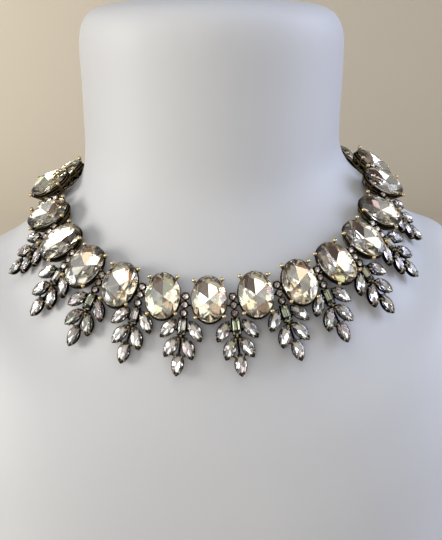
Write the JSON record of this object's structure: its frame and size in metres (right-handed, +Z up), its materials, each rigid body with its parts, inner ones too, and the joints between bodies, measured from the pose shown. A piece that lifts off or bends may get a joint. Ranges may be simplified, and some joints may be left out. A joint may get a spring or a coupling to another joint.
{
  "type": "bib necklace on neck bust",
  "caption": "Bib necklace of large oval crystals in openwork settings with leaf-shaped stone drops, lying on a plain headless neck bust.",
  "frame": {"origin": "middle of the bust's flat base, on the surface it stands on", "axes": "+Z up through the neck; -Y out of the front of the bust, where the drops hang; +X to the right of someone facing it"},
  "size_m": [0.2109, 0.1484, 0.22],
  "materials": {
    "bust": "matte white, very slightly grained",
    "antique_brass": "antique gold, dark in the recesses",
    "oxidised_brass": "black oxidised, rubbed to gold on the edges",
    "crystal": "polished, foil-backed, champagne to pale grey-green"
  },
  "bodies": {
    "root": {"neck_bust": "bust", "oval_setting_01": "antique_brass", "oval_stone_01": "crystal", "oval_setting_02": "antique_brass", "oval_stone_02": "crystal", "oval_setting_03": "antique_brass", "oval_stone_03": "crystal", "oval_setting_04": "antique_brass", "oval_stone_04": "crystal", "oval_setting_05": "antique_brass", "oval_stone_05": "crystal", "oval_setting_06": "antique_brass", "oval_stone_06": "crystal", "oval_setting_07": "antique_brass", "oval_stone_07": "crystal", "oval_setting_08": "antique_brass", "oval_stone_08": "crystal", "oval_setting_09": "antique_brass", "oval_stone_09": "crystal", "oval_setting_10": "antique_brass", "oval_stone_10": "crystal", "oval_setting_11": "antique_brass", "oval_stone_11": "crystal", "oval_setting_12": "antique_brass", "oval_stone_12": "crystal", "oval_setting_13": "antique_brass", "oval_stone_13": "crystal", "oval_setting_14": "antique_brass", "oval_stone_14": "crystal", "oval_setting_15": "antique_brass", "oval_stone_15": "crystal", "oval_setting_16": "antique_brass", "oval_stone_16": "crystal", "leaf_drop_01": "oxidised_brass", "leaf_drop_02": "oxidised_brass", "leaf_drop_03": "oxidised_brass", "leaf_drop_04": "oxidised_brass", "leaf_drop_05": "oxidised_brass", "leaf_drop_06": "oxidised_brass", "leaf_drop_07": "oxidised_brass", "leaf_drop_08": "oxidised_brass", "leaf_drop_09": "oxidised_brass", "leaf_drop_10": "oxidised_brass", "leaf_drop_11": "oxidised_brass", "stone_bar_01": "oxidised_brass", "stone_bar_02": "oxidised_brass", "stone_bar_03": "oxidised_brass", "stone_bar_04": "oxidised_brass", "chain_right": "antique_brass", "chain_left": "antique_brass", "clasp": "antique_brass"}
  },
  "joints": []
}
